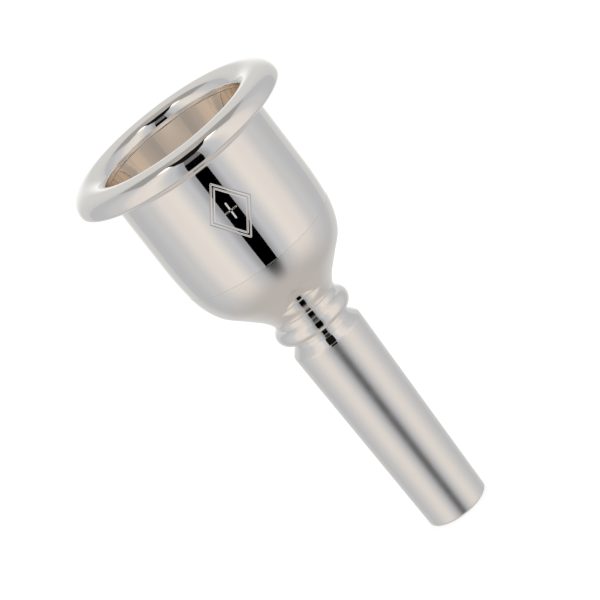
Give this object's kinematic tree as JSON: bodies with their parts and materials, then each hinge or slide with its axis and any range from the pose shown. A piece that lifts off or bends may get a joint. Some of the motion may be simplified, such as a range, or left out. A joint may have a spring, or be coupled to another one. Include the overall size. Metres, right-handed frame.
{
  "type": "brass instrument mouthpiece",
  "caption": "Tuba-size mouthpiece with screw-on rim, straight-sided cup, beaded neck and tapered shank, in polished silver-plated brass.",
  "frame": {"origin": "centre of the shank's tip face, where the air leaves", "axes": "+Z along the axis of symmetry, from the shank's tip to the rim; X and Y are any two directions across it"},
  "size_m": [0.0468, 0.0468, 0.0975],
  "materials": {
    "polished_plate": "mirror-polished silver plate over brass",
    "satin_plate": "satin silver plate over brass, brushed round the taper",
    "seal_rubber": "matt black nitrile"
  },
  "bodies": {
    "shank": {"shank": "satin_plate", "collar": "polished_plate"},
    "shank_seal": {"shank_seal": "seal_rubber"},
    "lower_cup": {"lower_cup": "satin_plate"},
    "cup_seal": {"cup_seal": "seal_rubber"},
    "upper_cup": {"upper_cup": "polished_plate"},
    "rim_seal": {"rim_seal": "seal_rubber"},
    "rim": {"rim": "polished_plate"}
  },
  "joints": [
    {"name": "shank_draw", "type": "slide", "parent": "shank", "child": "shank_seal", "axis": [0, 0, 1], "range_m": [0, 0.00525]},
    {"name": "shank_screw", "type": "hinge", "parent": "shank_seal", "child": "lower_cup", "pos_m": [0, 0, 0.0556], "axis": [0, 0, 1], "range_deg": [0, 2520]},
    {"name": "cup_draw", "type": "slide", "parent": "lower_cup", "child": "cup_seal", "axis": [0, 0, 1], "range_m": [0, 0.00375]},
    {"name": "cup_screw", "type": "hinge", "parent": "cup_seal", "child": "upper_cup", "pos_m": [0, 0, 0.0666], "axis": [0, 0, 1], "range_deg": [0, 1800]},
    {"name": "rim_draw", "type": "slide", "parent": "upper_cup", "child": "rim_seal", "axis": [0, 0, 1], "range_m": [0, 0.00187]},
    {"name": "rim_screw", "type": "hinge", "parent": "rim_seal", "child": "rim", "pos_m": [0, 0, 0.0927], "axis": [0, 0, 1], "range_deg": [0, 900]}
  ],
  "couplings": [
    {"joint": "shank_draw", "follows": "shank_screw", "m_per_rad": 0.00011937},
    {"joint": "cup_draw", "follows": "cup_screw", "m_per_rad": 0.00011937},
    {"joint": "rim_draw", "follows": "rim_screw", "m_per_rad": 0.00011937}
  ]
}
